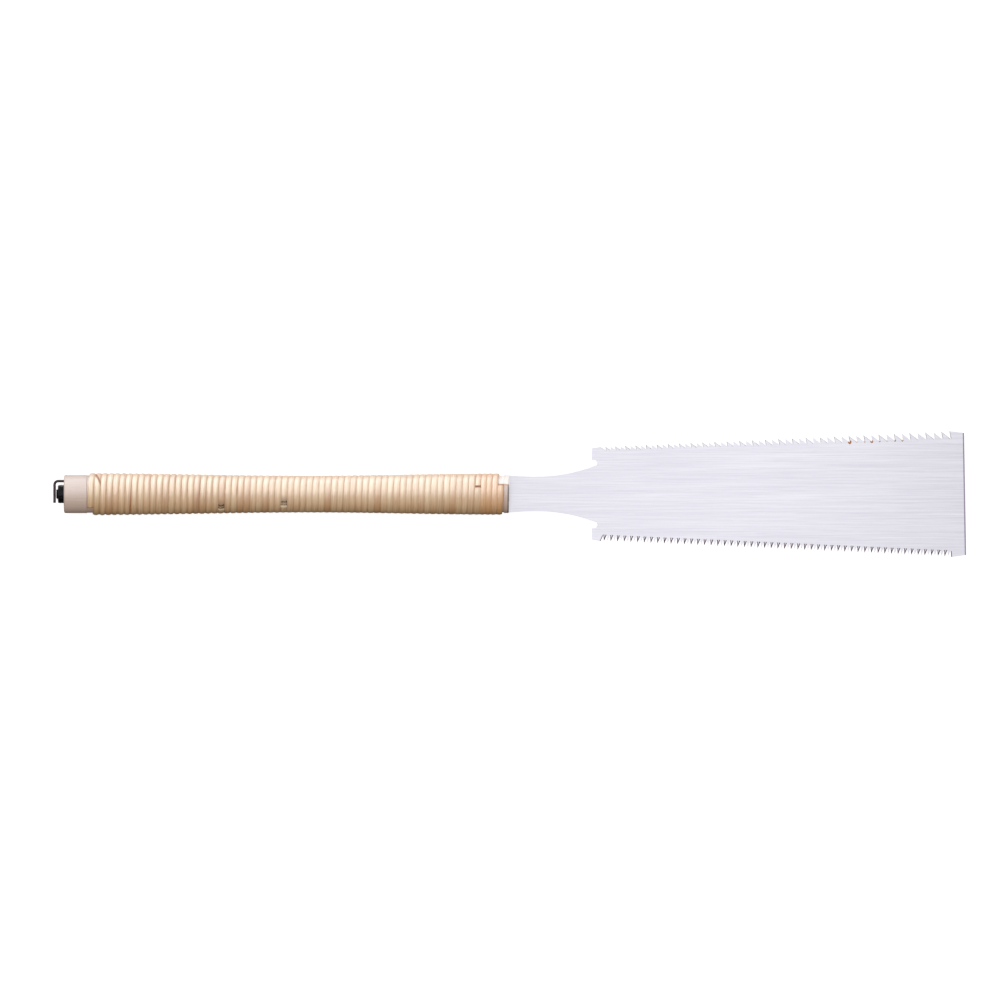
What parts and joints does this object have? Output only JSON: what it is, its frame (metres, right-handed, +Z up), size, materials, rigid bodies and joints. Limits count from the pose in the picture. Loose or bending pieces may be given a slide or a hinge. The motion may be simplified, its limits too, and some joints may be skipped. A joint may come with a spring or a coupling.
{
  "type": "ryoba saw",
  "caption": "Double-edged pull saw: thin blade with a rip and a crosscut edge, drawn by a rod and nut into a long handle wound with rattan, hex key parked in the butt.",
  "frame": {"origin": "middle of the saw's length and width, on the surface that it lies on", "axes": "+X from the handle to the toe of the blade, +Y to the rip edge, +Z up through the blade's face"},
  "size_m": [0.7042, 0.0972, 0.0272],
  "materials": {
    "blade_steel": "fine lengthwise brushed",
    "core_wood": "bare, smooth sanded",
    "rattan": "natural glossy skin",
    "zinc_steel": "zinc plated",
    "black_oxide_steel": "black oxide"
  },
  "bodies": {
    "handle": {"handle_core_upper": "core_wood", "handle_core_lower": "core_wood", "throat_sleeve": "zinc_steel", "butt_washer": "zinc_steel", "rattan_binding_rear": "rattan", "rattan_binding_main": "rattan", "rattan_binding_front": "rattan"},
    "draw": {"draw_rod": "black_oxide_steel", "draw_chuck": "zinc_steel", "tang_pin": "zinc_steel", "rod_pin": "zinc_steel"},
    "blade": {"blade": "blade_steel"},
    "nut": {"butt_nut": "black_oxide_steel"},
    "lock": {"nut_lock_screw": "black_oxide_steel"},
    "key": {"hex_key": "black_oxide_steel"}
  },
  "joints": [
    {"name": "draw_slide", "type": "slide", "parent": "handle", "child": "draw", "axis": [1, 0, 0], "range_m": [0, 0.005]},
    {"name": "nut_turn", "type": "hinge", "parent": "handle", "child": "nut", "pos_m": [-0.3451, 0, 0.01333], "axis": [-1, 0, 0], "range_deg": [0, 1440]},
    {"name": "blade_slide", "type": "slide", "parent": "draw", "child": "blade", "axis": [1, 0, 0], "range_m": [0, 0.048]},
    {"name": "key_slide", "type": "slide", "parent": "handle", "child": "key", "axis": [-1, 0, 0], "range_m": [0, 0.048]},
    {"name": "lock_screw_turn", "type": "hinge", "parent": "nut", "child": "lock", "pos_m": [-0.34515, 0, 0.01333], "axis": [0, -0.628, 0.7782], "range_deg": [0, 180]}
  ],
  "couplings": [
    {"joint": "nut_turn", "follows": "draw_slide", "rad_per_m": 5026.5}
  ]
}
